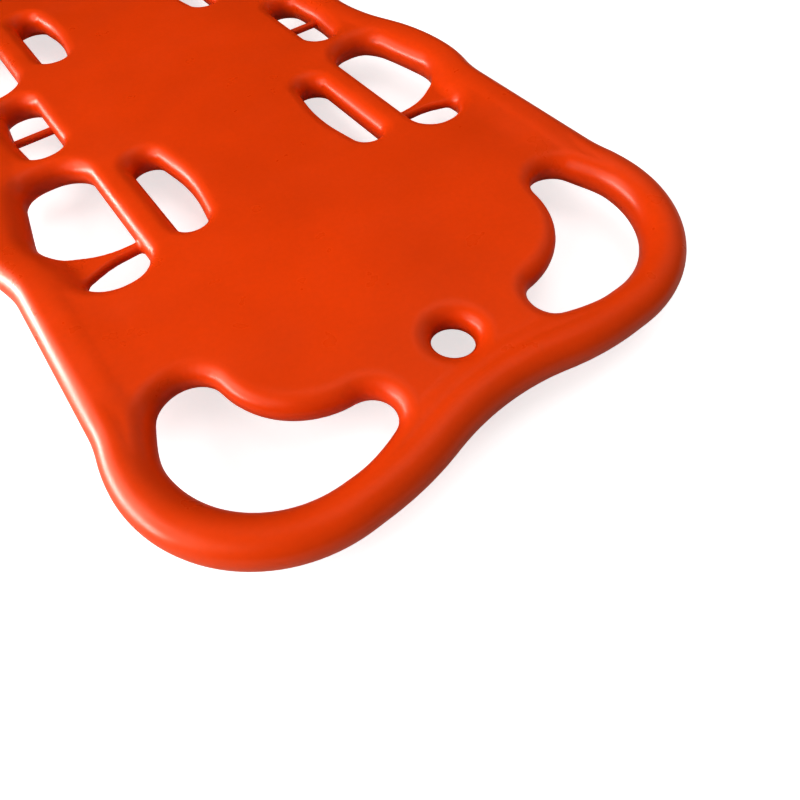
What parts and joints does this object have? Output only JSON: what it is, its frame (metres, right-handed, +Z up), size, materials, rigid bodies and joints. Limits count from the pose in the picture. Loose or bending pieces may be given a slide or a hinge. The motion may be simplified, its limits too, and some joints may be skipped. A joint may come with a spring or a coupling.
{
  "type": "spine board",
  "caption": "Long flat spine board with a round hand rail, hand openings, strap slots and cross bars for strap hooks, for carrying a patient lying down.",
  "frame": {"origin": "on the ground under the middle of the board", "axes": "X across the board, Y along its length, Z up; both ends are alike"},
  "size_m": [0.451, 1.84, 0.05],
  "materials": {
    "orange_skin": "smooth semi-gloss rotomoulded polyethylene",
    "orange_pin": "smooth moulded nylon",
    "plug": "spin-welded polyethylene plug",
    "foam": "rigid polyurethane foam",
    "rod": "pultruded glass fibre",
    "cap": "moulded polyethylene"
  },
  "bodies": {
    "root": {"upper_skin": "orange_skin", "lower_skin": "orange_skin", "foam_core": "foam", "stiffening_rod_left": "rod", "stiffening_rod_right": "rod", "rod_cap_left_1": "cap", "rod_cap_left_2": "cap", "rod_cap_right_1": "cap", "rod_cap_right_2": "cap", "strap_pin_left_1": "orange_pin", "strap_pin_left_2": "orange_pin", "strap_pin_left_3": "orange_pin", "strap_pin_left_4": "orange_pin", "strap_pin_right_1": "orange_pin", "strap_pin_right_2": "orange_pin", "strap_pin_right_3": "orange_pin", "strap_pin_right_4": "orange_pin", "foam_fill_plug": "plug", "vent_plug_1": "plug", "vent_plug_2": "plug"}
  },
  "joints": []
}
